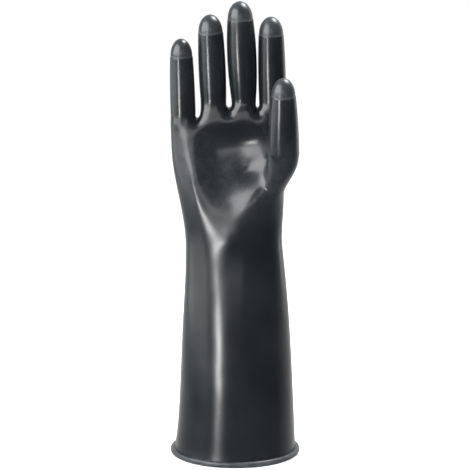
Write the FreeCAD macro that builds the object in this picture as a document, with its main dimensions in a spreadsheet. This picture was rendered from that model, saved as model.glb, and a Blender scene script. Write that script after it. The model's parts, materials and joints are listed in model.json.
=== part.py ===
import FreeCAD, Part
import Sketcher
import os

# One right-hand insulating glove of dipped rubber, standing on its cuff.
# Millimetres, +Z up through the middle of the cuff, the palm faces -Y and the thumb is on +X.
# The rubber is one skin with one wall. It is divided where it bends: rigid tubes lie between
# short creases, and each crease fills the notch that the tubes need to bend into.

doc = FreeCAD.newDocument("insulating_glove")
sheet = doc.addObject("Spreadsheet::Sheet", "Sizes")
sizes = {}


def size(alias, value, note=""):
    """Puts one driving dimension in the sheet under a word that expressions can use."""
    row = len(sizes) + 1
    sheet.set(f"A{row}", alias)
    sheet.set(f"B{row}", str(value))
    sheet.setAlias(f"B{row}", alias)
    sheet.set(f"C{row}", note)
    sizes[alias] = value


# --- driving dimensions ----------------------------------------------------------------------

size("wall", 2.4, "thickness of the rubber everywhere")
size("hinge_gap", 0.2, "room on each side of a bending line")
size("flex_spare", 1.0, "degrees left in a notch at full bend")

size("bead_radius", 58.5, "outside of the rolled bead at the cuff")
size("bead_width", 5.4)
size("bead_height", 5.2)
size("bead_inner_fillet", 1.2)
size("bead_outer_fillet", 1.8)

# Cross-sections of the sleeve and the hand, from the cuff up: each is an ellipse with its
# height, its middle across the hand, and its two half axes.
LEVELS = {
    "flare": (46, 1.4, 52.3, 51.5),
    "forearm": (100, 1.2, 49.9, 46.5),
    "narrowing": (150, 0.7, 46.5, 39.5),
    "band_bottom": (183.5, -0.5, 44.4, 33.8),
    "wrist": (196, -1.2, 43.7, 32.0),
    "band_top": (208.5, -1.3, 44.9, 31.0),
    "heel": (228, -2.0, 47.0, 28.5),
    "palm_low": (250, -4.2, 49.2, 25.5),
    "palm_mid": (275, -5.9, 50.9, 22.0),
    "knuckles": (300, -6.3, 51.3, 18.0),
    "roof": (306.2, -6.2, 51.2, 14.5),
}
for level, (height, middle, half_width, half_depth) in LEVELS.items():
    size(f"{level}_height", height)
    size(f"{level}_middle", middle)
    size(f"{level}_half_width", half_width)
    size(f"{level}_half_depth", half_depth)

size("web_height", 316.7, "floor of the forks between the three longer fingers")
size("web_half_depth", 11.3)
size("web_foot_height", 296)

# Each finger: the place of its base bending line, its lean, its lengths measured from that
# line, its radii and how far each of its three lines bends. back_bend is the way back.
size("finger_forward_lean", 5.0)
size("dome_height", 15.7)
size("root_depth", 26.0, "how far a finger's tube reaches down into the hand")
size("block_spare", 1.0, "how far the blocks that cut a finger stand out past it")
size("back_bend", 10.0)
FINGERS = {
    "index": dict(across=33.2, height=324.5, side_lean=-1.5, reach=72.1, first=23, second=25,
                  root_radius=11.9, end_radius=11.0, base_bend=45, middle_bend=60, upper_bend=36),
    "middle": dict(across=7.6, height=326, side_lean=-2.5, reach=84.4, first=25, second=27.5,
                   root_radius=12.3, end_radius=11.4, base_bend=60, middle_bend=75, upper_bend=45),
    "ring": dict(across=-19.2, height=325.5, side_lean=-2.3, reach=73.1, first=23, second=25,
                 root_radius=11.9, end_radius=11.0, base_bend=60, middle_bend=75, upper_bend=45),
    "little": dict(across=-46.1, height=314.8, side_lean=-1.4, reach=62.4, first=20, second=19.5,
                   root_radius=11.3, end_radius=10.1, base_bend=60, middle_bend=75, upper_bend=45),
}
for finger, values in FINGERS.items():
    for word, value in values.items():
        size(f"{finger}_{word}", value)

# The thumb stands in front of the forefinger. Its lower line swings it out to the side and a
# little in; its upper line bends the end in towards the palm.
THUMB = dict(across=42.4, forward=-35.5, height=281, forward_lean=10, side_lean=-0.5, reach=67,
             first=31, dome=14, root_radius=13.9, end_radius=10.9, stub=15, swing_out=45,
             swing_in=10, end_bend=45)
for word, value in THUMB.items():
    size(f"thumb_{word}", value)
size("thenar_across", 24, "the ball of the thumb: its lower end inside the palm")
size("thenar_forward", -9)
size("thenar_height", 222)
size("thenar_radius", 18.5)

doc.recompute()


# --- helpers ---------------------------------------------------------------------------------

def add(kind, name, **formulas):
    """Adds one object and binds its properties to the sheet. A bare name in a formula is a cell.
    Property names use __ for a dot, as in Placement__Base__z."""
    obj = doc.addObject(kind, name)
    for word, formula in formulas.items():
        obj.setExpression(word.replace("__", "."), str(formula))
    return obj


def cell(word):
    return f"Sizes.{word}"


def boolean(kind, name, base, tool):
    obj = doc.addObject(kind, name)
    obj.Base = base
    obj.Tool = tool
    return obj


def fuse(name, shapes):
    obj = doc.addObject("Part::MultiFuse", name)
    obj.Shapes = shapes
    return obj


def ellipse(name, level, inset):
    """The outline of one level of the sleeve or hand, drawn in by the inset."""
    return add(
        "Part::Ellipse", name,
        MajorRadius=f"{cell(level + '_half_width')} - {inset}",
        MinorRadius=f"{cell(level + '_half_depth')} - {inset}",
        Placement__Base__x=cell(level + "_middle"),
        Placement__Base__z=cell(level + "_height"),
    )


def mouth_ring(name, inset):
    """The round lower end of the sleeve, which sits on top of the bead."""
    radius = f"Sizes.bead_radius - Sizes.bead_width + Sizes.wall - {inset}"
    return add("Part::Ellipse", name, MajorRadius=radius, MinorRadius=radius,
               Placement__Base__z=cell("bead_height"))


def loft(name, rings):
    obj = doc.addObject("Part::Loft", name)
    obj.Sections = rings
    obj.Solid = True
    obj.Ruled = False
    return obj


def lofted_shell(name, levels, with_mouth=False):
    """A sleeve open at both ends, with the wall's thickness all the way up."""
    skins = []
    for side, inset in (("outside", "0"), ("inside", "Sizes.wall")):
        rings = [mouth_ring(f"{name}_mouth_{side}", inset)] if with_mouth else []
        rings += [ellipse(f"{name}_{level}_{side}", level, inset) for level in levels]
        skins.append(loft(f"{name}_{side}", rings))
    return boolean("Part::Cut", name, *skins)


def place(obj, where, turn_about_own_axis=0):
    """Puts a shape drawn on a finger's own axis at its place in the glove."""
    obj.setExpression(
        "Placement",
        f"placement(vector({where['x']}; {where['y']}; {where['z']});"
        f" rotation(vector(0; 1; 0); {where['side_lean']})"
        f" * rotation(vector(1; 0; 0); {where['forward_lean']})"
        f" * rotation(vector(0; 0; 1); {turn_about_own_axis}))",
    )
    return obj


def notch_rise(bend):
    """How much a notch widens for each millimetre from its bending line."""
    return f"tan(({bend} / 2 + Sizes.flex_spare) * 1deg)"


def notch(name, radius, line, front_bend, back_bend, turn=0):
    """The block that a crease fills: two wedges whose edges meet along a bending line. The
    front one leaves room to bend forwards, and the other one to bend back. A turn about the
    finger's own axis points the front somewhere else."""
    reach = f"({radius} + Sizes.block_spare)"
    wedges = []
    for side, bend in (("front", front_bend), ("back", back_bend)):
        half = f"(Sizes.hinge_gap + {reach} * {notch_rise(bend)})"
        narrow = dict(low=f"{line} - Sizes.hinge_gap", high=f"{line} + Sizes.hinge_gap")
        wide = dict(low=f"{line} - {half}", high=f"{line} + {half}")
        first, last = (wide, narrow) if side == "front" else (narrow, wide)
        wedges.append(add(
            "Part::Wedge", f"{name}_{side}",
            Xmin=f"-{reach}", Xmax=reach, X2min=f"-{reach}", X2max=reach,
            Ymin=f"-{reach}" if side == "front" else 0, Ymax=0 if side == "front" else reach,
            Zmin=first["low"], Zmax=first["high"], Z2min=last["low"], Z2max=last["high"],
        ))
    block = fuse(name, wedges)
    block.Placement.Rotation = FreeCAD.Rotation(FreeCAD.Vector(0, 0, 1), turn)
    return block


def tube(name, radius_root, radius_end, length, depth, inset):
    """A finger's outside or inside: straight below its base line, tapered above it."""
    root = add("Part::Cylinder", f"{name}_root", Radius=f"{radius_root} - {inset}", Height=depth,
               Placement__Base__z=f"-{depth}")
    shaft = add("Part::Cone", f"{name}_shaft", Radius1=f"{radius_root} - {inset}",
                Radius2=f"{radius_end} - {inset}", Height=length)
    return fuse(name, [root, shaft])


def dome(name, radius, height, foot, inset):
    """The rounded end of a finger, half an egg on a flat foot."""
    return add("Part::Ellipsoid", name, Radius1=f"{height} - {inset}",
               Radius2=f"{radius} - {inset}", Radius3=f"{radius} - {inset}", Angle1=0, Angle2=90,
               Placement__Base__z=foot)


def crease(name, shell, block, where):
    """The soft part of a finger's tube that fills a notch."""
    return place(boolean("Part::Common", name, shell, block), where)


def stretch(name, shell, radius, low, high, notches, where):
    """The rigid part of a finger's tube from one height to another, less the notches."""
    block = add("Part::Cylinder", f"{name}_block", Radius=f"{radius} + Sizes.block_spare",
                Height=f"{high} - ({low})", Placement__Base__z=low)
    shape = boolean("Part::Common", f"{name}_whole", shell, block)
    for number, wedge in enumerate(notches, 1):
        shape = boolean("Part::Cut", f"{name}_cut_{number}", shape, wedge)
    return place(shape, where)


pieces = []


def keep(obj, name):
    """Marks a finished piece: its Label is the name of its file."""
    obj.Label = name
    pieces.append(obj)


# --- the cuff: a rolled bead with a narrow flat land to stand on ------------------------------

def origin_part(body, role):
    """The origin plane or axis of a body that has this role."""
    return [part for part in body.Origin.OriginFeatures if part.Role == role][0]


def rectangle(sketch, left, bottom, width, height):
    """A rectangle whose left side stands at a distance from the turning axis."""
    right, top = left + width, bottom + height
    corners = [FreeCAD.Vector(*point, 0) for point in
               ((left, bottom), (right, bottom), (right, top), (left, top))]
    start, end, origin = 1, 2, -1
    for number in range(4):
        line = Part.LineSegment(corners[number], corners[(number + 1) % 4])
        sketch.addGeometry(line, False)
    for number in range(4):
        following = (number + 1) % 4
        sketch.addConstraint(Sketcher.Constraint("Coincident", number, end, following, start))
    for number, direction in enumerate(("Horizontal", "Vertical", "Horizontal", "Vertical")):
        sketch.addConstraint(Sketcher.Constraint(direction, number))
    sketch.addConstraint(Sketcher.Constraint("DistanceX", origin, start, 0, start, left))
    sketch.renameConstraint(8, "left")
    sketch.addConstraint(Sketcher.Constraint("PointOnObject", 0, start, -1))
    sketch.addConstraint(Sketcher.Constraint("DistanceX", 0, start, 0, end, width))
    sketch.renameConstraint(10, "width")
    sketch.addConstraint(Sketcher.Constraint("DistanceY", 1, start, 1, end, height))
    sketch.renameConstraint(11, "height")


bead = doc.addObject("PartDesign::Body", "bead_body")
section = bead.newObject("Sketcher::SketchObject", "bead_section")
section.AttachmentSupport = [(origin_part(bead, "XZ_Plane"), "")]
section.MapMode = "FlatFace"
rectangle(section, sizes["bead_radius"] - sizes["bead_width"], 0, sizes["bead_width"],
          sizes["bead_height"])
section.setExpression("Constraints.left", "Sizes.bead_radius - Sizes.bead_width")
section.setExpression("Constraints.width", "Sizes.bead_width")
section.setExpression("Constraints.height", "Sizes.bead_height")
turned = bead.newObject("PartDesign::Revolution", "bead_ring")
turned.Profile = section
turned.ReferenceAxis = (section, ["V_Axis"])
turned.Angle = 360
doc.recompute()


def rim_edges(feature, radius):
    """The names of the round edges of a turned piece that have this radius."""
    return [f"Edge{number}" for number, edge in enumerate(feature.Shape.Edges, 1)
            if hasattr(edge.Curve, "Radius") and abs(edge.Curve.Radius - radius) < 0.01]


previous = turned
for side, radius in (("inner", sizes["bead_radius"] - sizes["bead_width"]),
                     ("outer", sizes["bead_radius"])):
    rounded = bead.newObject("PartDesign::Fillet", f"bead_{side}_fillet")
    rounded.Base = (previous, rim_edges(previous, radius))
    rounded.setExpression("Radius", f"Sizes.bead_{side}_fillet")
    doc.recompute()
    previous = rounded
keep(bead, "cuff_bead")

# --- the sleeve and the band that bends at the wrist ------------------------------------------

keep(lofted_shell("sleeve_skin", ["flare", "forearm", "narrowing", "band_bottom"],
                  with_mouth=True), "gauntlet")
keep(lofted_shell("band_skin", ["band_bottom", "wrist", "band_top"]), "wrist_band")

# --- the four fingers -------------------------------------------------------------------------

hand_outsides = []
hand_insides = []


def finger_skins(name, own, dome_size, depth):
    """One finger on its own axis: the outside and inside of its tube, the tube's wall between
    them, and the wall of its dome."""
    length = f"{own['reach']} - {dome_size}"
    sides = (("outside", "0"), ("inside", "Sizes.wall"))
    skins = {side: tube(f"{name}_{side}", own["root_radius"], own["end_radius"], length, depth,
                        inset) for side, inset in sides}
    shell = boolean("Part::Cut", f"{name}_shell", skins["outside"], skins["inside"])
    domes = [dome(f"{name}_dome_{side}", own["end_radius"], dome_size, length, inset)
             for side, inset in sides]
    return skins, shell, boolean("Part::Cut", f"{name}_cap", *domes)


def stub(name, skins, radius, depth, base_notch, where):
    """Adds a finger's root to the skins of the hand. Its outside ends at the notch at its
    base, and its hollow runs on to the bending line, so that the finger stays open."""
    hand_outsides.append(stretch(f"{name}_stub_outside", skins["outside"], radius, f"-{depth}",
                                 "0", [base_notch], where))
    hand_insides.append(stretch(f"{name}_stub_inside", skins["inside"], radius, f"-{depth}",
                                "0", [], where))


for finger in FINGERS:
    own = {word: cell(f"{finger}_{word}") for word in FINGERS[finger]}
    where = dict(x=own["across"], y=0, z=own["height"], side_lean=own["side_lean"],
                 forward_lean="Sizes.finger_forward_lean")
    radius = own["root_radius"]
    skins, shell, cap = finger_skins(finger, own, "Sizes.dome_height", "Sizes.root_depth")
    heights = {"base": "0", "middle": own["first"], "upper": f"({own['first']} + {own['second']})"}
    notches = {}
    for line, height in heights.items():
        back_bend = "Sizes.back_bend" if line == "base" else "0"
        notches[line] = notch(f"{finger}_{line}_notch", radius, height, own[f"{line}_bend"],
                              back_bend)
        keep(crease(f"{finger}_{line}_fold", shell, notches[line], where),
             f"{finger}_{line}_crease")
    stub(finger, skins, radius, "Sizes.root_depth", notches["base"], where)
    foot_of_dome = f"{own['reach']} - Sizes.dome_height"
    lengths = {
        "lower": (heights["base"], heights["middle"], [notches["base"], notches["middle"]]),
        "middle": (heights["middle"], heights["upper"], [notches["middle"], notches["upper"]]),
        "upper": (heights["upper"], foot_of_dome, [notches["upper"]]),
    }
    for span, (low, high, ends) in lengths.items():
        keep(stretch(f"{finger}_{span}_length", shell, radius, low, high, ends, where),
             f"{finger}_{span}_tube")
    keep(place(cap, where), f"{finger}_tip")

# --- the thumb --------------------------------------------------------------------------------

own = {word: cell(f"thumb_{word}") for word in THUMB}
where = dict(x=own["across"], y=own["forward"], z=own["height"], side_lean=own["side_lean"],
             forward_lean=own["forward_lean"])
radius = own["root_radius"]
skins, shell, cap = finger_skins("thumb", own, own["dome"], own["stub"])
OUTWARD, INWARD = 90, -90
base_notch = notch("thumb_base_notch", radius, "0", own["swing_out"], own["swing_in"], OUTWARD)
upper_notch = notch("thumb_upper_notch", radius, own["first"], own["end_bend"], "0", INWARD)
stub("thumb", skins, radius, own["stub"], base_notch, where)
keep(crease("thumb_base_fold", shell, base_notch, where), "thumb_base_crease")
keep(crease("thumb_upper_fold", shell, upper_notch, where), "thumb_upper_crease")
keep(stretch("thumb_lower_length", shell, radius, "0", own["first"], [base_notch, upper_notch],
             where), "thumb_lower_tube")
keep(stretch("thumb_upper_length", shell, radius, own["first"], f"{own['reach']} - {own['dome']}",
             [upper_notch], where), "thumb_upper_tube")
keep(place(cap, where), "thumb_tip")

# --- the hand: palm, forks between the fingers, ball of the thumb ------------------------------

PALM_LEVELS = ["band_top", "heel", "palm_low", "palm_mid", "knuckles", "roof"]


def palm_block(side, inset):
    """The body of the hand; its inside stops a wall short of the roof."""
    rings = [ellipse(f"palm_{level}_{side}", level, inset) for level in PALM_LEVELS]
    if side == "inside":
        rings[-1].setExpression("Placement.Base.z", "Sizes.roof_height - Sizes.wall")
    return loft(f"palm_{side}", rings)


def web_block(side, inset):
    """The raised part under the forks of the three longer fingers: a bar with round ends."""
    depth = f"(Sizes.web_half_depth - {inset})"
    height = f"Sizes.web_height - Sizes.web_foot_height - {inset}"
    foot = cell("web_foot_height")
    bar = add("Part::Box", f"web_bar_{side}", Length="Sizes.index_across - Sizes.ring_across",
              Width=f"2 * {depth}", Height=height, Placement__Base__x=cell("ring_across"),
              Placement__Base__y=f"-{depth}", Placement__Base__z=foot)
    ends = [add("Part::Cylinder", f"web_{finger}_end_{side}", Radius=depth, Height=height,
                Placement__Base__x=cell(f"{finger}_across"), Placement__Base__z=foot)
            for finger in ("ring", "index")]
    return fuse(f"web_{side}", [bar] + ends)


def thenar_block(side, inset):
    """The ball of the thumb: a cone from inside the palm to the thumb's root, and the ball
    that joins it to the thumb."""
    thumb = FreeCAD.Rotation(0, sizes["thumb_side_lean"], sizes["thumb_forward_lean"])
    hinge = FreeCAD.Vector(sizes["thumb_across"], sizes["thumb_forward"], sizes["thumb_height"])
    root = hinge - thumb.multVec(FreeCAD.Vector(0, 0, sizes["thumb_stub"]))
    heel = FreeCAD.Vector(sizes["thenar_across"], sizes["thenar_forward"], sizes["thenar_height"])
    cone = add("Part::Cone", f"thenar_cone_{side}", Radius1=f"Sizes.thenar_radius - {inset}",
               Radius2=f"Sizes.thumb_root_radius - {inset}")
    cone.Height = (root - heel).Length
    cone.Placement = FreeCAD.Placement(heel, FreeCAD.Rotation(FreeCAD.Vector(0, 0, 1), root - heel))
    ball = add("Part::Sphere", f"thenar_ball_{side}", Radius=f"Sizes.thumb_root_radius - {inset}")
    ball.Placement.Base = root
    return [cone, ball]


for side, inset, roots in (("outside", "0", hand_outsides), ("inside", "Sizes.wall", hand_insides)):
    roots += [palm_block(side, inset), web_block(side, inset)] + thenar_block(side, inset)
hand = boolean("Part::Cut", "hand_skin", fuse("hand_outside", hand_outsides),
               fuse("hand_inside", hand_insides))
keep(hand, "hand")

# --- checks and export ------------------------------------------------------------------------

doc.recompute()
for obj in doc.Objects:
    if "Invalid" in obj.State or "Error" in obj.State:
        raise RuntimeError(f"{obj.Name} failed: {obj.State}")
for obj in pieces:
    shape = obj.Shape
    if shape.isNull() or not shape.isValid():
        raise RuntimeError(f"{obj.Label} has no valid shape")
    if len(shape.Solids) != 1:
        raise RuntimeError(f"{obj.Label} is {len(shape.Solids)} solids")

os.makedirs("parts", exist_ok=True)
for obj in pieces:
    obj.Shape.exportStep(f"parts/{obj.Label}.step")
    print(f"{obj.Label}: {obj.Shape.Volume / 1000:.2f} cm3")
print(f"{len(pieces)} pieces")
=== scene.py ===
# %% [markdown]
# # An electrician's rubber glove
# A real one is made by dipping: a glazed hand, called a former, goes down into liquid rubber and comes up
# with a skin on it, many times over, until the wall is thick enough. So the whole glove is one smooth
# skin with one rolled edge. The frame below comes from the CAD model. It says where each joint turns and
# how big the glove is, and every place in this lesson is taken from it or measured from it.

# %% Load the frame
import json
import math

import bmesh
import bpy
import numpy as np
from mathutils import Matrix, Vector


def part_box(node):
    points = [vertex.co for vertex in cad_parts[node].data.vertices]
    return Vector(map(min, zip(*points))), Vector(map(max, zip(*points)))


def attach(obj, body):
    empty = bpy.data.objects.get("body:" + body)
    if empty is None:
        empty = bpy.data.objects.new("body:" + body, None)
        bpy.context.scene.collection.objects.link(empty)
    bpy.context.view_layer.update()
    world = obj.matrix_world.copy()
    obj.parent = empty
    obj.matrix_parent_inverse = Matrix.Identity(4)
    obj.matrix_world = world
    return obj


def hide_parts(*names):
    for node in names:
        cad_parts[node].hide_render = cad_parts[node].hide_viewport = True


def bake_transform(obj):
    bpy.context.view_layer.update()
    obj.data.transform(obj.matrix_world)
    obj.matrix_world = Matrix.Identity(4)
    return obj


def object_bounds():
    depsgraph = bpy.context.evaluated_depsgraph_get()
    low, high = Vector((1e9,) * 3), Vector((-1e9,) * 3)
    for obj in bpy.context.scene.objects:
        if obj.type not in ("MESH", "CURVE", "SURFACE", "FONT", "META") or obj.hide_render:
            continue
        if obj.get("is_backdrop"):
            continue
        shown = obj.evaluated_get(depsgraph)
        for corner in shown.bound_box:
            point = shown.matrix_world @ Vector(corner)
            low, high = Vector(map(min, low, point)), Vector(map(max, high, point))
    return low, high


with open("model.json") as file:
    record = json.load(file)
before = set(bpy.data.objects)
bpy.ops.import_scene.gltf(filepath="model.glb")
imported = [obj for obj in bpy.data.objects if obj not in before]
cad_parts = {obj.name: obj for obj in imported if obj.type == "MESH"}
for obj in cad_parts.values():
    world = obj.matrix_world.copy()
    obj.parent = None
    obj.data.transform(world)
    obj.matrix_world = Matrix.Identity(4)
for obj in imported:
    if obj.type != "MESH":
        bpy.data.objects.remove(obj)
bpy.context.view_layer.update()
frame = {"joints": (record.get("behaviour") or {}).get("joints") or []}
scene = bpy.context.scene
joints = {joint["name"]: joint for joint in frame["joints"]}
MM = 0.001
WALL = 2.4 * MM
DOME = 15.7 * MM

# %% [markdown]
# ## A frame for each finger
# A finger is easiest to shape in its own directions: across it, from its front to its back, and along it.
# They could be typed in as angles. Reading them from the joints is safer, because the skin is then
# shaped round the places where the CAD model bends.

# %% Finger frames
FINGERS = ("index", "middle", "ring", "little")


class Digit:
    """The place and directions of a finger or the thumb, read from its joints and its tip."""

    def __init__(self, name, hinges, across):
        places = [Vector(joints[hinge]["pos_m"]) for hinge in hinges]
        self.name = name
        self.base = places[0]
        self.along = (places[-1] - places[0]).normalized()
        self.across = Vector(joints[across]["axis"]).normalized()
        if self.across.x < 0:
            self.across = -self.across
        self.across = (self.across - self.along * self.across.dot(self.along)).normalized()
        self.back = self.along.cross(self.across)
        self.hinges = [(place - self.base).length for place in places]
        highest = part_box(f"{name}_tip")[1].z
        self.reach = (highest - self.base.z) / self.along.z
        self.foot = self.reach - DOME

    def point(self, distance, radius=0.0, turn=Vector((0, 0))):
        side = self.across * turn.x + self.back * turn.y
        return self.base + self.along * distance + side * radius


digits = {}
for name in FINGERS:
    hinges = (f"{name}_base_bend", f"{name}_middle_bend", f"{name}_upper_bend")
    digits[name] = Digit(name, hinges, hinges[0])
digits["thumb"] = Digit("thumb", ("thumb_swing", "thumb_bend"), "thumb_swing")
thumb = digits["thumb"]
thumb.back = Vector(joints["thumb_swing"]["axis"]).normalized()
thumb.across = thumb.back.cross(thumb.along)
for digit in digits.values():
    hinge_places = [round(distance / MM, 1) for distance in digit.hinges]
    print(digit.name, "reaches", round(digit.reach / MM, 1), "hinges", hinge_places)

# %% [markdown]
# ## The cage
# A soft form with a clear structure is quickest to build as a cage: a coarse box-like mesh that a
# Subdivision Surface rounds off. The sleeve is a ring of 26 points that is extruded upwards, level by
# level. Eleven faces in front and eleven behind leave three columns for each finger, so the fingers can
# grow out of the same faces. The outline is a list of levels: the height, the middle, half of the width,
# and the depth of the palm side and of the back.

# %% Sleeve and palm outline
COLUMNS = 26
HALF = COLUMNS // 2
OUTLINE = (
    (5.2, 0.0, 55.5, 55.5, 55.5),
    (16, 0.6, 54.3, 54.4, 54.4),
    (34, 1.2, 53.0, 52.8, 52.8),
    (60, 1.3, 51.7, 50.4, 50.4),
    (88, 1.2, 50.4, 47.6, 47.6),
    (116, 1.0, 49.0, 44.2, 44.2),
    (142, 0.8, 47.2, 40.6, 40.6),
    (164, 0.4, 45.5, 37.0, 37.0),
    (182, -0.4, 44.3, 33.9, 33.9),
    (196, -1.2, 43.5, 32.0, 32.0),
    (209, -1.5, 44.6, 30.8, 31.0),
    (222, -2.0, 46.2, 29.0, 29.3),
    (237, -3.2, 48.0, 26.0, 27.0),
    (252, -4.6, 49.6, 22.8, 24.6),
    (267, -6.0, 51.2, 19.6, 22.0),
    (282, -6.7, 51.9, 16.9, 19.2),
    (296, -7.0, 52.2, 14.6, 16.4),
)
SLEEVE_TOP = 222
ROOT_WIDTH = {"index": 12.0, "middle": 10.8, "ring": 11.5, "little": 11.3}
EDGE_INSET = 3.6
CORNER = 0.965  # the widest that a column may stand, as a share of the half width
finger_columns = []
for name in FINGERS:
    middle = digits[name].base.x / MM
    width = ROOT_WIDTH[name]
    finger_columns += [middle + width, middle, middle - width]
ring_columns = list(finger_columns)
ring_columns[0] -= EDGE_INSET
ring_columns[-1] += EDGE_INSET


def ease(value, start, end):
    """0 before start and 1 after end, with a soft way between them. It works on numbers and on arrays."""
    share = np.clip((value - start) / (end - start), 0, 1)
    return share * share * (3 - 2 * share)


def ring_point(level, number):
    """One point of a ring: a rounded oval whose points drift towards the finger columns higher up."""
    height, middle, half_width, palm_depth, back_depth = level
    turn = 2 * math.pi * number / COLUMNS
    power = 2 + 0.8 * float(ease(height, 255, 300))
    x = middle + half_width * math.copysign(abs(math.cos(turn)) ** (2 / power), math.cos(turn))
    if number % HALF == 0:
        return Vector((x, 0, height)) * MM
    column = number - 1 if number < HALF else COLUMNS - 1 - number
    x += (ring_columns[column] - x) * float(ease(height, 200, 296))
    x = middle + max(-CORNER * half_width, min(CORNER * half_width, x - middle))
    share = abs(x - middle) / half_width
    rise = (1 - share ** power) ** (1 / power)
    return Vector((x, -palm_depth * rise if number < HALF else back_depth * rise, height)) * MM


print("columns at the fingers:", [round(x, 1) for x in finger_columns])

# %% [markdown]
# ## Growing the sleeve
# Each extrusion copies the top ring. The copies are found by their place, because an operator may hand
# them back in another order, and then they are moved to the next level. The face's material number is
# used as a label: it says which piece the face will belong to, and a Subdivision Surface passes it on.

# %% Extrude the rings
cage = bmesh.new()
pieces = ["sleeve", "hand"]


def label(name):
    """The number that marks the faces of a piece."""
    if name not in pieces:
        pieces.append(name)
    return pieces.index(name)


def found_again(old, made):
    """The new vertices, in the order of the old ones that they were copied from."""
    vertices = [element for element in made["geom"] if isinstance(element, bmesh.types.BMVert)]
    places = {tuple(round(c, 7) for c in vertex.co): vertex for vertex in vertices}
    return [places[tuple(round(c, 7) for c in v.co)] for v in old]


def raise_ring(ring, points, name):
    """Extrudes an open ring upwards to the given points."""
    edges = [cage.edges.get((ring[k], ring[(k + 1) % COLUMNS])) for k in range(COLUMNS)]
    made = bmesh.ops.extrude_edge_only(cage, edges=edges)
    for face in made["geom"]:
        if isinstance(face, bmesh.types.BMFace):
            face.material_index = label(name)
    ring = found_again(ring, made)
    for vertex, point in zip(ring, points):
        vertex.co = point
    return ring


bmesh.ops.create_circle(cage, cap_ends=False, segments=COLUMNS, radius=1)
ring = list(cage.verts)
rings = {}
for level in OUTLINE:
    points = [ring_point(level, number) for number in range(COLUMNS)]
    if rings:
        ring = raise_ring(ring, points, "sleeve" if level[0] <= SLEEVE_TOP else "hand")
    else:
        for vertex, point in zip(ring, points):
            vertex.co = point
    rings[level[0]] = ring
print("sleeve and palm rings:", len(rings), "faces:", len(cage.faces))

# %% [markdown]
# ## The roof between the fingers
# The top of the palm is closed by a grid with two rows of faces. Its low places are the webs, where two
# fingers part. The web beside the little finger lies about a centimetre lower than the other two, as it
# does on a hand. Grid Fill makes the faces from the two long edges of the last ring.

# %% Close the roof
ROOF = {
    "index": (310.5, 315.5, 316.5, 12.6),
    "middle": (316.5, 316.5, 316.5, 12.8),
    "ring": (316.5, 314.0, 308.0, 12.4),
    "little": (306.5, 304.5, 301.0, 11.6),
}


ROOF_FALL = 3.5
SHRINK = 0.902  # a ring of eight points rounds off to this share of its radius


def roof_point(column, row):
    """A point of the roof: column 0 is the index side, row 0 the palm, row 1 the middle, row 2 the back."""
    heights = ROOF[FINGERS[column // 3]]
    outermost = column in (0, 11)
    x = finger_columns[column]
    if outermost:
        middle = digits[FINGERS[column // 3]].base.x / MM
        x = middle + (x - middle) * (1.05 if row == 1 else 0.95)
    depth = heights[3] * (0.9 if outermost else 1)
    fall = 0 if row == 1 else ROOF_FALL
    return Vector((x, (row - 1) * depth, heights[column % 3] - fall)) * MM


def roof_place(number):
    """The column and row of a point of the last ring."""
    if number == 0:
        return 0, 1
    if number == HALF:
        return 11, 1
    return (number - 1, 0) if number < HALF else (COLUMNS - 1 - number, 2)


ring = raise_ring(ring, [roof_point(*roof_place(k)) for k in range(COLUMNS)], "hand")
front = [cage.edges.get((ring[k], ring[k + 1])) for k in range(1, 12)]
behind = [cage.edges.get((ring[k], ring[k + 1])) for k in range(14, 25)]
bmesh.ops.grid_fill(cage, edges=front + behind, mat_nr=label("hand"), use_smooth=True)
roof = {roof_place(k): ring[k] for k in range(COLUMNS)}
for column in range(1, 11):
    in_front = {edge.other_vert(roof[column, 0]) for edge in roof[column, 0].link_edges}
    at_back = {edge.other_vert(roof[column, 2]) for edge in roof[column, 2].link_edges}
    (between,) = in_front & at_back
    between.co = roof_point(column, 1)
    roof[column, 1] = between
print("roof points:", len(roof))

# %% [markdown]
# ## Growing the fingers
# Each finger is the four faces over its place, extruded again and again. A finger could be a separate
# tube joined by a boolean, but an extruded one keeps the skin whole, so the web rounds off by itself. The
# rings lie close together at the line of the dome, where the wall has a small step left by the last dip.

# %% Extrude the fingers
RADII = {
    "index": (12.0, 12.2, 11.1),
    "middle": (10.8, 12.9, 11.5),
    "ring": (11.4, 12.1, 11.1),
    "little": (11.2, 11.1, 10.1),
    "thumb": (14.0, 13.4, 10.9),
}
STEP = 0.35
FULLEST = 0.42
DOME_RINGS = ((0.05, 0.965), (0.3, 0.94), (0.62, 0.8), (0.88, 0.52))


def radius_at(name, share):
    """The finger's radius in millimetres, on a curve through its root, its fullest place and its end."""
    root, full, end = RADII[name]
    share = np.clip(share, 0, 1)
    at_root = root * (share - FULLEST) * (share - 1) / FULLEST
    at_full = full * share * (share - 1) / (FULLEST * (FULLEST - 1))
    at_end = end * share * (share - FULLEST) / (1 - FULLEST)
    return at_root + at_full + at_end


def faces_between(patch):
    """The four faces of a patch of three by three vertices."""
    faces = []
    for i in (0, 1):
        for j in (0, 1):
            corners = {patch[i, j], patch[i + 1, j], patch[i + 1, j + 1], patch[i, j + 1]}
            faces += [face for face in patch[i, j].link_faces if set(face.verts) == corners]
    return faces


def grow(patch, name):
    """Extrudes a patch and takes away the faces that it left inside."""
    old = faces_between(patch)
    made = bmesh.ops.extrude_face_region(cage, geom=old)
    grown = dict(zip(patch, found_again(list(patch.values()), made)))
    leftover = [face for face in old if face.is_valid]
    bmesh.ops.delete(cage, geom=leftover, context="FACES")
    for vertex in grown.values():
        for face in vertex.link_faces:
            face.material_index = label(name)
    return grown


def turn_of(key):
    """The direction of a patch's point from its middle."""
    turn = Vector((key[0] - 1, key[1] - 1))
    return turn.normalized() if turn.length else turn


def place(patch, digit, distance, radius, crown=0.0):
    """Puts a patch square across a finger."""
    for key, vertex in patch.items():
        turn = turn_of(key)
        lift = 0 if turn.length else crown
        vertex.co = digit.point(distance + lift, radius / SHRINK, turn)


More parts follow.
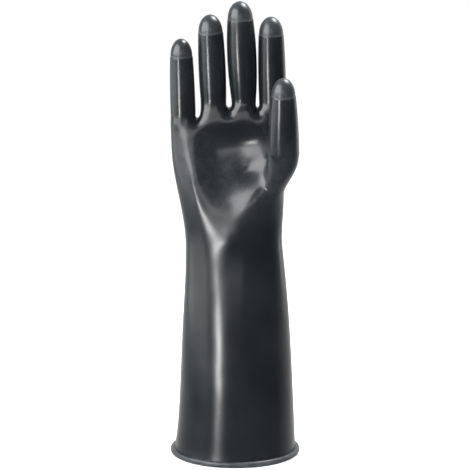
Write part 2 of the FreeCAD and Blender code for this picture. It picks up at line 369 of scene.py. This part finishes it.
def grow_dome(patch, digit):
    """The rounded end of a finger."""
    for share, width in DOME_RINGS:
        patch = grow(patch, f"{digit.name}_dome")
        radius = RADII[digit.name][2] * MM * width
        place(patch, digit, digit.foot + DOME * share, radius, DOME * 0.14 if share > 0.8 else 0)


def grow_finger(digit, patch, stations):
    """Extrudes a finger through its stations. Each is a distance in millimetres and a piece's name."""
    for distance, name in stations:
        patch = grow(patch, f"{digit.name}_{name}")
        share = (distance * MM + 6 * MM) / (digit.foot + 6 * MM)
        place(patch, digit, distance * MM, float(radius_at(digit.name, share)) * MM)
    grow_dome(patch, digit)


for order, name in enumerate(FINGERS):
    digit = digits[name]
    columns = (order * 3 + 2, order * 3 + 1, order * 3)
    patch = {(i, j): roof[column, j] for i, column in enumerate(columns) for j in (0, 1, 2)}
    first = digit.hinges[1] / MM
    second = digit.hinges[2] / MM
    foot = digit.foot / MM
    cut = (first + second) / 2 + 1
    stations = [(-5.5, "root"), (1, "root"), (first * 0.45, "root")]
    stations += [(first - 5, "knuckle"), (first + 2, "knuckle"), (first + 9, "knuckle"), (cut, "knuckle")]
    stations += [((cut + foot) / 2, "end"), (foot - 4, "end"), (foot - 0.9, "end"), (foot, "end")]
    grow_finger(digit, patch, stations)
print("cage faces with fingers:", len(cage.faces))

# %% [markdown]
# ## The thumb
# The thumb grows from four faces at the front of the palm, on the index side. Its first rings swing from
# facing forwards to facing up, like a bent pipe, and the ball of the thumb is the outside of that bend.

# %% Extrude the thumb
THUMB_ROWS = (237, 252, 267)
THUMB_COLUMNS = (3, 2, 1)
ROOT_TILT = math.radians(20)
ROOT_DISTANCE = -12 * MM
MIDDLE_RING = 16.0 * MM
ROOT_RING = 14.6 * MM

BALL = (26, 244)
BALL_SIZE = (15, 25)
BALL_LEAN = math.radians(-18)
BALL_DEPTH = 11


def oval(x, z, middle, size, turn):
    """How far a place is from the middle of a turned oval, as a share of its size in its two directions."""
    across = (x - middle[0]) * math.cos(turn) + (z - middle[1]) * math.sin(turn)
    up = (z - middle[1]) * math.cos(turn) - (x - middle[0]) * math.sin(turn)
    return across / size[0], up / size[1]


for ring in rings.values():
    for vertex in ring:
        u, v = oval(vertex.co.x / MM, vertex.co.z / MM, BALL, BALL_SIZE, BALL_LEAN)
        if vertex.co.y < 0:
            vertex.co.y -= BALL_DEPTH * MM * math.exp(-u * u - v * v)

patch = {}
for i, column in enumerate(THUMB_COLUMNS):
    for j, row in enumerate(THUMB_ROWS):
        patch[i, j] = rings[row][column]
from_places = {key: vertex.co.copy() for key, vertex in patch.items()}
tilt = Matrix.Rotation(ROOT_TILT, 3, thumb.across)
root_middle = thumb.point(ROOT_DISTANCE)


def root_place(key, radius):
    """A point of the tilted ring at the root of the thumb."""
    turn = turn_of(key)
    return root_middle + tilt @ (thumb.across * turn.x + thumb.back * turn.y) * (radius / SHRINK)


patch = grow(patch, "hand")
for key, vertex in patch.items():
    vertex.co = from_places[key].lerp(root_place(key, MIDDLE_RING), 0.5)
patch = grow(patch, "hand")
for key, vertex in patch.items():
    vertex.co = root_place(key, ROOT_RING)
thumb_stations = ((-3, "root"), (7, "root"), (16, "root"))
thumb_stations += ((24, "end"), (31, "end"), (38, "end"), (45, "end"))
thumb_stations += ((thumb.foot / MM - 0.9, "end"), (thumb.foot / MM, "end"))
grow_finger(thumb, patch, thumb_stations)
bmesh.ops.recalc_face_normals(cage, faces=cage.faces)
open_edges = sum(edge.is_boundary for edge in cage.edges)
stray_edges = sum(edge.is_wire for edge in cage.edges)
print("cage faces:", len(cage.faces), "open edges:", open_edges, "stray:", stray_edges)

# %% [markdown]
# ## Rounding the cage
# The cage has about a thousand faces. Subdivision cuts each in four, three times over, and pulls the new
# corners towards their neighbours, so the boxy cage becomes a smooth skin. The labels stay on the faces.

# %% Round the cage off
ROUNDING = 3
cage_mesh = bpy.data.meshes.new("cage")
cage.to_mesh(cage_mesh)
cage.free()
cage_object = bpy.data.objects.new("cage", cage_mesh)
scene.collection.objects.link(cage_object)
for _ in pieces:
    cage_mesh.materials.append(None)
rounding = cage_object.modifiers.new("rounding", "SUBSURF")
rounding.levels = ROUNDING
rounding.render_levels = ROUNDING
depsgraph = bpy.context.evaluated_depsgraph_get()
skin = bpy.data.meshes.new_from_object(cage_object.evaluated_get(depsgraph))
bpy.data.objects.remove(cage_object)
print("skin faces:", len(skin.polygons), "labels:", len(pieces))

# %% [markdown]
# ## Truing the fingers
# A rounded cage is only nearly round. On the real former the fingers are turned and polished, so each
# vertex is moved to the exact radius of its finger, and the ends are moved out to a half ellipsoid.

# %% True the fingers
points = np.zeros(len(skin.vertices) * 3)
skin.vertices.foreach_get("co", points)
points = points.reshape(-1, 3)
face_labels = np.zeros(len(skin.polygons), int)
skin.polygons.foreach_get("material_index", face_labels)


def vertices_of(names):
    """The numbers of the vertices that belong to some pieces."""
    wanted = [pieces.index(name) for name in names if name in pieces]
    found = set()
    for polygon in np.flatnonzero(np.isin(face_labels, wanted)):
        found.update(skin.polygons[int(polygon)].vertices)
    return np.array(sorted(found))


def true_digit(digit, start=-7, whole=14):
    """Moves a finger's vertices to their radius, and its end to a half ellipsoid."""
    numbers = vertices_of([f"{digit.name}_{part}" for part in ("root", "knuckle", "end", "dome")])
    across, back, along = (np.array(v) for v in (digit.across, digit.back, digit.along))
    offset = points[numbers] - np.array(digit.base)
    x, y, s = offset @ across, offset @ back, offset @ along
    end = RADII[digit.name][2] * MM
    share = (s + 6 * MM) / (digit.foot + 6 * MM)
    wanted = radius_at(digit.name, share) * MM - STEP * MM * ease(s, digit.foot - 0.8 * MM, digit.foot)
    on_tube = s <= digit.foot
    spread = np.maximum(np.hypot(x, y), 1e-9)
    height = s - digit.foot
    top = end - STEP * MM
    swell = 1 / np.sqrt((x / top) ** 2 + (y / top) ** 2 + (height / DOME) ** 2)
    amount = ease(s, start * MM, whole * MM)
    scale = np.where(on_tube, 1 + (wanted / spread - 1) * amount, swell)
    new_s = np.where(on_tube, s, digit.foot + height * swell)
    moved = np.outer(x * scale, across) + np.outer(y * scale, back) + np.outer(new_s, along)
    points[numbers] = np.array(digit.base) + moved


for name in FINGERS:
    true_digit(digits[name])
print("highest point in mm:", round(points[:, 2].max() / MM, 1))

# %% [markdown]
# ## Sculpting the palm
# The palm is a bowl between two mounds. It could be drawn into the cage, but a few soft pushes on the
# fine mesh are easier to place: each has a middle, a size, a tilt and a depth, as a thumb pressed into
# clay has.

# %% Sculpt the palm
PALM_EDGE = 3
PALM_FACE = 11
PRESS_TOP = 287
FINGERS_START = 302
SOFT_FROM = 200
ROOT_TOP = 310
BALL_ROUNDS = 25
FORK_ROUNDS = 80
LAST_ROUNDS = 20


def press(middle, size, tilt, depth, power=2.0):
    """Pushes the palm in, or out where depth is negative, over a tilted oval."""
    u, v = oval(points[:, 0] / MM, points[:, 2] / MM, middle, size, math.radians(tilt))
    reach = np.abs(u) ** power + np.abs(v) ** power
    in_front = ease(-points[:, 1], PALM_EDGE * MM, PALM_FACE * MM)
    below_fingers = 1 - ease(points[:, 2], PRESS_TOP * MM, FINGERS_START * MM)
    points[palm, 1] += (depth * MM * np.exp(-reach) * in_front * below_fingers)[palm]


def relax(numbers, rounds):
    """Smooths some vertices of the skin, as a thumb rubs clay."""
    skin.vertices.foreach_set("co", points.ravel())
    mesh = bmesh.new()
    mesh.from_mesh(skin)
    mesh.verts.ensure_lookup_table()
    area = [mesh.verts[int(number)] for number in numbers]
    for _ in range(rounds):
        bmesh.ops.smooth_vert(
            mesh, verts=area, factor=0.5, use_axis_x=True, use_axis_y=True, use_axis_z=True,
        )
    mesh.to_mesh(skin)
    mesh.free()
    eased = np.zeros(points.size)
    skin.vertices.foreach_get("co", eased)
    points[:] = eased.reshape(-1, 3)


palm = vertices_of(["hand", "sleeve"])
root = vertices_of(["thumb_root"])
root_height = (points[root] - np.array(thumb.base)) @ np.array(thumb.along)
palm = np.union1d(palm, root[root_height < -2 * MM])
x, y, z = points[palm].T / MM
ball = palm[(z > 205) & (z < 290) & (x > 2) & (y < 2)]
relax(ball, BALL_ROUNDS)
fork = palm[(z > 232) & (z < 300) & (x > 4) & (x < 40) & (y < -4)]
relax(fork, FORK_ROUNDS)
PRESSES = (
    ((-5, 274), (30, 29), 20, 10.5, 3.0),  # bowl
    ((14, 262), (14, 6), 24, 3.2),  # hollow by the thumb
    ((-1, 262), (22, 6), 38, -2.2),  # ridge
    ((-37, 262), (13, 40), 3, -5.5),  # mound under the little finger
    ((15, 240), (8, 34), -22, -2.0),  # crest of the thumb's ball
    ((-3, 203), (11, 9), 0, -1.4),  # bump at the wrist
)
for values in PRESSES:
    press(*values)
finger_roots = vertices_of([f"{name}_root" for name in FINGERS])
low_roots = finger_roots[points[finger_roots, 2] < ROOT_TOP * MM]
relax(np.union1d(palm[points[palm, 2] > SOFT_FROM * MM], low_roots), LAST_ROUNDS)
true_digit(thumb, -9, 12)
skin.vertices.foreach_set("co", points.ravel())
skin.update()
print("palm vertices:", len(palm), "in the ball of the thumb:", len(ball))

# %% [markdown]
# ## Cutting the skin into pieces
# Rubber has no joints, but a rigid body does, so the skin is cut where one body takes over from the next.
# A cut shows as a dark line if each piece works out its own shading. The fix is to note the whole skin's
# normals first and to give them back to the pieces. Each piece then gets an inner wall, as thick as the
# real one, and a rim that joins the two. A thin line still shows at the thumb side of the wrist.

# %% Make the pieces
count = len(skin.vertices)
skin_normals = np.zeros(count * 3, np.float32)
skin.vertices.foreach_get("normal", skin_normals)
stored = skin.attributes.new("skin_normal", "FLOAT_VECTOR", "POINT")
stored.data.foreach_set("vector", skin_normals)
OUTSIDE, INSIDE = 0, 1


def skin_piece(name, title):
    """Takes one label's faces out of the skin and gives them a wall."""
    mesh = bmesh.new()
    mesh.from_mesh(skin)
    others = [face for face in mesh.faces if face.material_index != pieces.index(name)]
    bmesh.ops.delete(mesh, geom=others, context="FACES")
    normal = mesh.verts.layers.float_vector["skin_normal"]
    mark = mesh.faces.layers.int.new("rim")
    outer = list(mesh.faces)
    border = [edge for edge in mesh.edges if edge.is_boundary]
    rim = bmesh.ops.extrude_edge_only(mesh, edges=border)["geom"]
    copies = bmesh.ops.duplicate(mesh, geom=outer)["geom"]
    moving = {v for v in rim if isinstance(v, bmesh.types.BMVert)}
    moving |= {v for v in copies if isinstance(v, bmesh.types.BMVert)}
    inner = [face for face in copies if isinstance(face, bmesh.types.BMFace)]
    for face in rim:
        if isinstance(face, bmesh.types.BMFace):
            face[mark] = 1
    bmesh.ops.reverse_faces(mesh, faces=inner)
    for vertex in moving:
        vertex.co -= vertex[normal] * WALL
    for face in mesh.faces:
        face.material_index = OUTSIDE
    for face in inner:
        face.material_index = INSIDE
    bmesh.ops.remove_doubles(mesh, verts=list(mesh.verts), dist=0.001 * MM)
    rims = [face for face in mesh.faces if face[mark]]
    for face in rims:
        face.material_index = INSIDE
    bmesh.ops.recalc_face_normals(mesh, faces=mesh.faces)
    loops = []
    for face in mesh.faces:
        face.smooth = True
        for vertex in face.verts:
            if face[mark]:
                loops.append(face.normal.copy())
            else:
                loops.append(vertex[normal] if face.material_index == OUTSIDE else -vertex[normal])
    made = bpy.data.meshes.new(title)
    mesh.to_mesh(made)
    mesh.free()
    made.normals_split_custom_set(loops)
    for extra in ("skin_normal", "rim"):
        if extra in made.attributes:
            made.attributes.remove(made.attributes[extra])
    made.materials.clear()
    piece = bpy.data.objects.new(title, made)
    scene.collection.objects.link(piece)
    return piece


made = {name: skin_piece(name, f"{name}_skin") for name in pieces}
bpy.data.meshes.remove(skin)
for piece in made.values():
    print(piece.name, len(piece.data.polygons))

# %% [markdown]
# ## The rolled bead
# When the last coat is still soft the edge is rolled back on itself into a round bead, which stops the
# cuff from tearing. Its section is drawn once as a rounded bar and spun round the glove's axis.

# %% Spin the bead
low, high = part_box("cuff_bead")
bead_radius = high.x
bead_height = high.z - low.z
BEAD_WIDTH = 5.4 * MM
BEAD_ROUNDING = 2.1 * MM
BEAD_STEPS = 192
bead = bmesh.new()
bmesh.ops.create_grid(bead, x_segments=2, y_segments=2, size=0.5)
section_scale = Matrix.Diagonal((BEAD_WIDTH, bead_height, 1, 1))
bmesh.ops.transform(bead, matrix=section_scale, verts=bead.verts)
bmesh.ops.dissolve_limit(bead, angle_limit=0.1, verts=bead.verts, edges=bead.edges)
corners = list(bead.verts)
bmesh.ops.bevel(
    bead, geom=corners, affect="VERTICES", offset=BEAD_ROUNDING, segments=7, profile=0.5, material=-1,
)
stand = Matrix.Rotation(math.radians(90), 4, "X")
shift = Matrix.Translation((bead_radius - BEAD_WIDTH / 2, 0, low.z + bead_height / 2))
bmesh.ops.transform(bead, matrix=shift @ stand, verts=bead.verts)
bmesh.ops.delete(bead, geom=list(bead.faces), context="FACES_ONLY")
bmesh.ops.spin(
    bead, geom=list(bead.verts) + list(bead.edges), cent=(0, 0, 0), axis=(0, 0, 1),
    angle=2 * math.pi, steps=BEAD_STEPS, use_merge=True,
)
bmesh.ops.recalc_face_normals(bead, faces=bead.faces)
for face in bead.faces:
    face.smooth = True
bead_mesh = bpy.data.meshes.new("cuff_bead_roll")
bead.to_mesh(bead_mesh)
bead.free()
bead_piece = bpy.data.objects.new("cuff_bead_roll", bead_mesh)
scene.collection.objects.link(bead_piece)
print("bead faces:", len(bead_mesh.polygons))

# %% [markdown]
# ## Finishes
# Dipped rubber is black and glossy, but never a perfect mirror. The skin has slow waves, left as each
# coat ran down the former, a haze of talc that dulls the gloss in patches, and marks of rubbing from
# handling. The rubbing mask also carries a patch on the palm's front: its rougher gloss is a finish, and
# its lighter colour is painted sheen that stands in for the soft grey reflection there. The three effects
# are node groups, so that each material can use them with its own values.
# They read Object coordinates, which lie in the rubber itself, so they don't slide when the glove is
# turned.

# %% A helper for node groups
def new_group(name, inputs, outputs):
    """An empty node group for shaders. Inputs maps a name to its default; outputs lists the names."""
    group = bpy.data.node_groups.new(name, "ShaderNodeTree")
    for title, value in inputs.items():
        socket = group.interface.new_socket(title, in_out="INPUT", socket_type="NodeSocketFloat")
        socket.default_value = value
    for title in outputs:
        group.interface.new_socket(title, in_out="OUTPUT", socket_type="NodeSocketFloat")
    return group, group.nodes.new("NodeGroupInput"), group.nodes.new("NodeGroupOutput")


def add_node(tree, kind, **settings):
    """A node with its settings. A name that starts with a capital is one of the node's inputs."""
    node = tree.nodes.new(kind)
    for title, value in settings.items():
        if title[0].isupper():
            node.inputs[title.replace("_", " ")].default_value = value
        else:
            setattr(node, title, value)
    return node


def noise(tree, scale_socket, factor, detail, coordinates):
    """Noise at a multiple of the group's scale, read from Object coordinates."""
    scale = add_node(tree, "ShaderNodeMath", operation="MULTIPLY")
    scale.inputs[1].default_value = factor
    texture = add_node(tree, "ShaderNodeTexNoise", Detail=detail)
    tree.links.new(scale_socket, scale.inputs[0])
    tree.links.new(scale.outputs[0], texture.inputs["Scale"])
    tree.links.new(coordinates.outputs["Object"], texture.inputs["Vector"])
    return texture.outputs["Fac"]


# %% Waves in the coat
waves, enter, leave = new_group("coat_waves", {"Scale": 30.0, "Fine": 0.012}, ("Height",))
place_of = add_node(waves, "ShaderNodeTexCoord")
slow = noise(waves, enter.outputs["Scale"], 1.0, 1.0, place_of)
quick = noise(waves, enter.outputs["Scale"], 14.0, 3.0, place_of)
weigh = add_node(waves, "ShaderNodeMath", operation="MULTIPLY_ADD")
waves.links.new(quick, weigh.inputs[0])
waves.links.new(enter.outputs["Fine"], weigh.inputs[1])
waves.links.new(slow, weigh.inputs[2])
waves.links.new(weigh.outputs[0], leave.inputs["Height"])
print("group:", waves.name)

# %% Talc haze
haze, enter, leave = new_group("talc_haze", {"Scale": 22.0, "Amount": 0.5}, ("Mask",))
place_of = add_node(haze, "ShaderNodeTexCoord")
patches = noise(haze, enter.outputs["Scale"], 1.0, 4.0, place_of)
grains = noise(haze, enter.outputs["Scale"], 40.0, 2.0, place_of)
spread = add_node(haze, "ShaderNodeMapRange", From_Min=0.42, From_Max=0.72)
speckle = add_node(haze, "ShaderNodeMapRange", From_Min=0.35, From_Max=0.75, To_Min=0.55)
both = add_node(haze, "ShaderNodeMath", operation="MULTIPLY")
amount = add_node(haze, "ShaderNodeMath", operation="MULTIPLY", use_clamp=True)
haze.links.new(patches, spread.inputs["Value"])
haze.links.new(grains, speckle.inputs["Value"])
haze.links.new(spread.outputs[0], both.inputs[0])
haze.links.new(speckle.outputs[0], both.inputs[1])
haze.links.new(both.outputs[0], amount.inputs[0])
haze.links.new(enter.outputs["Amount"], amount.inputs[1])
haze.links.new(amount.outputs[0], leave.inputs["Mask"])
print("group:", haze.name)

# %% Rubbed places and the palm's painted sheen
rubbed_and_painted_sheen, enter, leave = new_group("rubbed_places", {"Amount": 0.5}, ("Mask",))
# Besides real rubbing, the stored amount holds the palm's painted sheen, a lighter patch standing in for
# soft grey reflection.
stored_rub_and_painted_sheen = add_node(rubbed_and_painted_sheen, "ShaderNodeAttribute", attribute_name="rub")
place_of = add_node(rubbed_and_painted_sheen, "ShaderNodeTexCoord")
broken = add_node(rubbed_and_painted_sheen, "ShaderNodeTexNoise", Scale=160.0, Detail=3.0)
uneven = add_node(rubbed_and_painted_sheen, "ShaderNodeMapRange", From_Min=0.3, From_Max=0.65, To_Min=0.35)
both = add_node(rubbed_and_painted_sheen, "ShaderNodeMath", operation="MULTIPLY")
amount = add_node(rubbed_and_painted_sheen, "ShaderNodeMath", operation="MULTIPLY", use_clamp=True)
rubbed_and_painted_sheen.links.new(place_of.outputs["Object"], broken.inputs["Vector"])
rubbed_and_painted_sheen.links.new(broken.outputs["Fac"], uneven.inputs["Value"])
rubbed_and_painted_sheen.links.new(uneven.outputs[0], both.inputs[0])
rubbed_and_painted_sheen.links.new(stored_rub_and_painted_sheen.outputs["Fac"], both.inputs[1])
rubbed_and_painted_sheen.links.new(both.outputs[0], amount.inputs[0])
rubbed_and_painted_sheen.links.new(enter.outputs["Amount"], amount.inputs[1])
rubbed_and_painted_sheen.links.new(amount.outputs[0], leave.inputs["Mask"])
print("group:", rubbed_and_painted_sheen.name)

# %% [markdown]
# A material is then a short recipe: the bare rubber's colour and gloss, the lighter colour that talc and
# rubbing bring out, and how much of each effect it has. The masks add up to one amount of dust and
# rubbing. It lightens the colour and roughens the gloss together, as real dust does. On the palm's front
# the amount also holds a painted sheen: there the lighter colour stands in for a soft grey reflection,
# while the rougher gloss is a finish.

# %% The rubber materials
def rubber(name, bare, dusty_and_painted_sheen, gloss, dull, talc, rub, wave, wave_scale=30.0):
    """A rubber finish. Gloss and dull are the roughness where it is clean and where dust, rubbing and, on
    the palm, the painted sheen lighten it.
    """
    material = bpy.data.materials.new(name)
    material.use_nodes = True
    tree = material.node_tree
    shader = tree.nodes["Principled BSDF"]
    shader.inputs["IOR"].default_value = 1.52
    coat = add_node(tree, "ShaderNodeGroup", node_tree=waves, Scale=wave_scale)
    dust = add_node(tree, "ShaderNodeGroup", node_tree=haze, Amount=talc)
    worn_and_painted_sheen = add_node(tree, "ShaderNodeGroup", node_tree=rubbed_and_painted_sheen, Amount=rub)
    total = add_node(tree, "ShaderNodeMath", operation="ADD", use_clamp=True)
    colour = add_node(tree, "ShaderNodeMix", data_type="RGBA")
    colour.inputs[6].default_value = (*bare, 1)
    colour.inputs[7].default_value = (*dusty_and_painted_sheen, 1)
    roughness = add_node(tree, "ShaderNodeMapRange", To_Min=gloss, To_Max=dull)
    bump = add_node(tree, "ShaderNodeBump", Strength=1.0, Distance=wave)
    tree.links.new(dust.outputs["Mask"], total.inputs[0])
    tree.links.new(worn_and_painted_sheen.outputs["Mask"], total.inputs[1])
    tree.links.new(total.outputs[0], colour.inputs["Factor"])
    tree.links.new(total.outputs[0], roughness.inputs["Value"])
    tree.links.new(colour.outputs[2], shader.inputs["Base Color"])
    tree.links.new(roughness.outputs[0], shader.inputs["Roughness"])
    tree.links.new(coat.outputs["Height"], bump.inputs["Height"])
    tree.links.new(bump.outputs["Normal"], shader.inputs["Normal"])
    return material


BLACK = (0.0052, 0.0072, 0.0082)
# Dust and rubbing lighten the rubber towards the next colour; on the palm's front the same colour is a
# painted sheen, standing in for a soft grey reflection.
DUST_AND_PAINTED_SHEEN = (0.05, 0.056, 0.062)
glove_rubber = rubber("glove_rubber", BLACK, DUST_AND_PAINTED_SHEEN, 0.235, 0.36, 0.12, 0.35, 0.0006)
DOME_BLACK = (0.012, 0.015, 0.017)
DOME_DUST = (0.04, 0.045, 0.05)
INNER_BLACK = (0.02, 0.021, 0.022)
INNER_DUST = (0.12, 0.12, 0.115)
dome_rubber = rubber("fingertip_rubber", DOME_BLACK, DOME_DUST, 0.24, 0.45, 0.7, 0.9, 0.0008)
bead_rubber = rubber("bead_rubber", BLACK, DUST_AND_PAINTED_SHEEN, 0.22, 0.5, 0.5, 0.8, 0.0006)
inner_rubber = rubber("inner_rubber", INNER_BLACK, INNER_DUST, 0.55, 0.8, 0.9, 0.0, 0.0006)


def store_rub_and_painted_sheen(piece, amounts):
    """Keeps each vertex's amount of rubbing, and on the palm the painted sheen, in the mesh, where the
    material can read it.
    """
    attribute = piece.data.attributes.new("rub", "FLOAT", "POINT")
    attribute.data.foreach_set("value", np.asarray(amounts, np.float32))


def corners_of(piece):
    """The places of a piece's vertices, one row each."""
    places = np.zeros(len(piece.data.vertices) * 3)
    piece.data.vertices.foreach_get("co", places)
    return places.reshape(-1, 3)


# On the palm's front a patch roughens the gloss and lightens the colour. The roughness is a finish; the
# lighter colour is painted sheen, standing in for the soft grey reflection there.
SATIN_AND_PAINTED_SHEEN_IN = (205 * MM, 245 * MM)  # the heights between which the palm's patch of rougher gloss and painted sheen comes in
SATIN_AND_PAINTED_SHEEN_OUT = (280 * MM, 303 * MM)  # the heights between which it goes out again
SATIN_AND_PAINTED_SHEEN_FRONT = (2 * MM, 10 * MM)
SATIN_AND_PAINTED_SHEEN_AMOUNT = 0.45
for name, piece in made.items():
    places = corners_of(piece)
    digit = digits.get(name.split("_")[0])
    height = places[:, 2]
    satin_and_painted_sheen = ease(height, *SATIN_AND_PAINTED_SHEEN_IN) * (1 - ease(height, *SATIN_AND_PAINTED_SHEEN_OUT))
    satin_and_painted_sheen *= ease(-places[:, 1], *SATIN_AND_PAINTED_SHEEN_FRONT) * SATIN_AND_PAINTED_SHEEN_AMOUNT
    rub = np.exp(-((height - low.z) / (9 * MM)) ** 2) * 0.5
    if digit:
        along = (places - np.array(digit.base)) @ np.array(digit.along)
        rub = np.exp(-((along - digit.foot) / (0.9 * MM)) ** 2)
        rub += 0.5 * ease(along, digit.foot + 0.55 * DOME, digit.foot + DOME)
    store_rub_and_painted_sheen(piece, rub + satin_and_painted_sheen)
    dome = name.endswith("dome")
    piece.data.materials.append(dome_rubber if dome else glove_rubber)
    piece.data.materials.append(inner_rubber)
spread = np.hypot(*corners_of(bead_piece)[:, :2].T)
store_rub_and_painted_sheen(bead_piece, ease(spread, bead_radius - 3 * MM, bead_radius))
bead_piece.data.materials.append(bead_rubber)
print("materials:", [material.name for material in bpy.data.materials])

# %% [markdown]
# ## Joining the pieces to the moving bodies
# A glove has no hinge: it bends where the rubber folds. Here the pieces with a fold in them are only baked
# in place; the stretch on both sides of each hinge is worked out but not used. If the stretch is too
# short for the bend, the inside of the fold crumples through itself. A stretch about 1.5 times the bend
# angle (in radians) times the tube's radius is the shortest that should avoid it, and that gives the half
# lengths below. A hard crease still shows at the wrist's limits. The bead and the hand ride on their
# bodies, and the domes, which hold no fold, simply ride on the last body of their finger.

# %% Tie the bead and the hand, and bake the sleeve in place
FOLD = {
    "index": (7.0, 9.1, 5.3),
    "middle": (9.3, 11.7, 6.7),
    "ring": (9.3, 11.3, 6.5),
    "little": (8.9, 10.7, 6.1),
}
THUMB_FOLD = (8.1, 7.4)
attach(bead_piece, "gauntlet")
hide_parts("cuff_bead")
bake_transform(made["sleeve"])
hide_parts("gauntlet", "wrist_band")
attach(made["hand"], "hand")
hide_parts("hand")


# %% Bake the finger and thumb pieces in place, and tie their domes
def fold(piece, digit, hinge, half):
    """Works out a stretch on both sides of a hinge, which is not used, and bakes the piece in place."""
    start = digit.point(digit.hinges[hinge] - half * MM)
    end = digit.point(digit.hinges[hinge] + half * MM)
    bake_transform(piece)


for name in FINGERS:
    digit = digits[name]
    for hinge, part in enumerate(("root", "knuckle", "end")):
        fold(made[f"{name}_{part}"], digit, hinge, FOLD[name][hinge])
    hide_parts(f"{name}_base_crease", f"{name}_lower_tube")
    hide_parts(f"{name}_middle_crease", f"{name}_middle_tube")
    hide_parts(f"{name}_upper_crease", f"{name}_upper_tube")
    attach(made[f"{name}_dome"], f"{name}_upper")
    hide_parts(f"{name}_tip")
fold(made["thumb_root"], thumb, 0, THUMB_FOLD[0])
fold(made["thumb_end"], thumb, 1, THUMB_FOLD[1])
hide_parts("thumb_base_crease", "thumb_lower_tube")
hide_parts("thumb_upper_crease", "thumb_upper_tube")
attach(made["thumb_dome"], "thumb_upper")
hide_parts("thumb_tip")
print("pieces tied to bodies:", len(made) + 1)

# %% [markdown]
# ## The studio
# The glove stands on a plain pale floor. The floor is left out of mirror images, because black rubber
# would show it as a grey band round the cuff.

# %% Lay the floor
FLOOR_HALF = 6
FLOOR_GREY = 0.9
floor_mesh = bpy.data.meshes.new("floor")
floor = bmesh.new()
bmesh.ops.create_grid(floor, x_segments=1, y_segments=1, size=FLOOR_HALF)
floor.to_mesh(floor_mesh)
floor.free()
floor_piece = bpy.data.objects.new("floor", floor_mesh)
scene.collection.objects.link(floor_piece)
floor_paint = bpy.data.materials.new("floor_paint")
floor_paint.use_nodes = True
floor_shader = floor_paint.node_tree.nodes["Principled BSDF"]
floor_shader.inputs["Base Color"].default_value = (FLOOR_GREY, FLOOR_GREY, FLOOR_GREY, 1)
floor_shader.inputs["Roughness"].default_value = 0.9
floor_piece.data.materials.append(floor_paint)
floor_piece.visible_glossy = False
floor_piece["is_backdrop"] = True
print("floor:", 2 * FLOOR_HALF, "m across")

# %% [markdown]
# The camera looks slightly down, which is why the cuff's bead shows as a curve. It stands well back with
# a long lens, so that the fingers don't look smaller than the cuff.

# %% Place the camera
CAMERA_RISE = math.radians(10.9)
CAMERA_DISTANCE = 2.2
FRAME_WIDTH = 0.4209
SENSOR = 36
TARGET = Vector((0.0, 0, 0.2000))
camera = bpy.data.cameras.new("camera")
camera.sensor_width = SENSOR
camera.lens = SENSOR * CAMERA_DISTANCE / FRAME_WIDTH
camera_object = bpy.data.objects.new("camera", camera)
scene.collection.objects.link(camera_object)
back_off = Vector((0, -math.cos(CAMERA_RISE), math.sin(CAMERA_RISE)))
camera_object.location = TARGET + back_off * CAMERA_DISTANCE
camera_object.rotation_euler = (-back_off).to_track_quat("-Z", "Y").to_euler()
scene.camera = camera_object
scene.view_settings.view_transform = "Standard"
print("lens in mm:", round(camera.lens, 1))

# %% [markdown]
# Black rubber shows almost nothing but what it mirrors, so its look is made by the softboxes. A tall,
# narrow one gives the bright stripe down the sleeve and the fingers. A broad one, high on the left, fills
# the palm with soft grey, and a low one just above the camera's line of sight greys the heel of the hand,
# which leans back. The others catch the domes and the edges.


# %% Hang the softboxes
def panel(name, place, aim, width, height, power):
    """A flat softbox that faces a point."""
    light = bpy.data.lights.new(name, "AREA")
    light.shape = "RECTANGLE"
    light.size = width
    light.size_y = height
    light.energy = power
    lamp = bpy.data.objects.new(name, light)
    lamp.location = place
    lamp.rotation_euler = (Vector(aim) - Vector(place)).to_track_quat("-Z", "Y").to_euler()
    scene.collection.objects.link(lamp)
    return lamp


SOFTBOXES = (
    ("strip", (-0.49, -0.72, 0.095), (0, 0, 0.095), 0.12, 0.19, 2.2),
    ("side", (-0.80, -0.50, 0.76), (0, 0, 0.76), 1.3, 0.92, 26),
    ("front", (-0.15, -1.2, 0.50), (0, 0, 0.30), 0.9, 0.22, 1.6),
    ("low_side", (-0.9, -0.05, 0.13), (0, 0, 0.13), 1.1, 0.26, 1.6),
    ("overhead", (0.45, 0.22, 1.2), (0, 0, 0.35), 0.5, 0.5, 18),
    ("right_edge", (0.8, 0.55, 0.5), (0, 0, 0.25), 0.25, 1.0, 1.0),
)
lamps = [panel(*softbox) for softbox in SOFTBOXES]
print("softboxes:", len(lamps))

# %% [markdown]
# The world does two jobs. For the camera and for soft light it is plain white. Mirror rays see a room
# that is dark at the front and light at the back, so that the rubber stays black and its edges catch a
# thin rim.

# %% Light the world
WHITE = 1.15
DARK_FRONT = 0.015
LIGHT_BACK = 0.9
world = bpy.data.worlds.new("studio")
scene.world = world
world.use_nodes = True
world_tree = world.node_tree
background = world_tree.nodes["Background"]
path = add_node(world_tree, "ShaderNodeLightPath")
direction = add_node(world_tree, "ShaderNodeTexCoord")
split = add_node(world_tree, "ShaderNodeSeparateXYZ")
ramp = add_node(
    world_tree, "ShaderNodeMapRange", From_Min=0.0, From_Max=1.0, To_Min=DARK_FRONT, To_Max=LIGHT_BACK,
)
mirrored = add_node(world_tree, "ShaderNodeMix")
mirrored.inputs["A"].default_value = WHITE
world_tree.links.new(direction.outputs["Generated"], split.inputs[0])
world_tree.links.new(split.outputs["Y"], ramp.inputs["Value"])
world_tree.links.new(path.outputs["Is Glossy Ray"], mirrored.inputs["Factor"])
world_tree.links.new(ramp.outputs[0], mirrored.inputs["B"])
world_tree.links.new(mirrored.outputs["Result"], background.inputs["Strength"])
background.inputs["Color"].default_value = (1, 1, 1, 1)
print("world nodes:", len(world_tree.nodes))

# %% [markdown]
# ## Measuring
# Last, the box round everything is measured and printed.

# %% Measure and finish
low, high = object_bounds()
print("visual box", [round(v / MM, 1) for v in (*low, *high)])
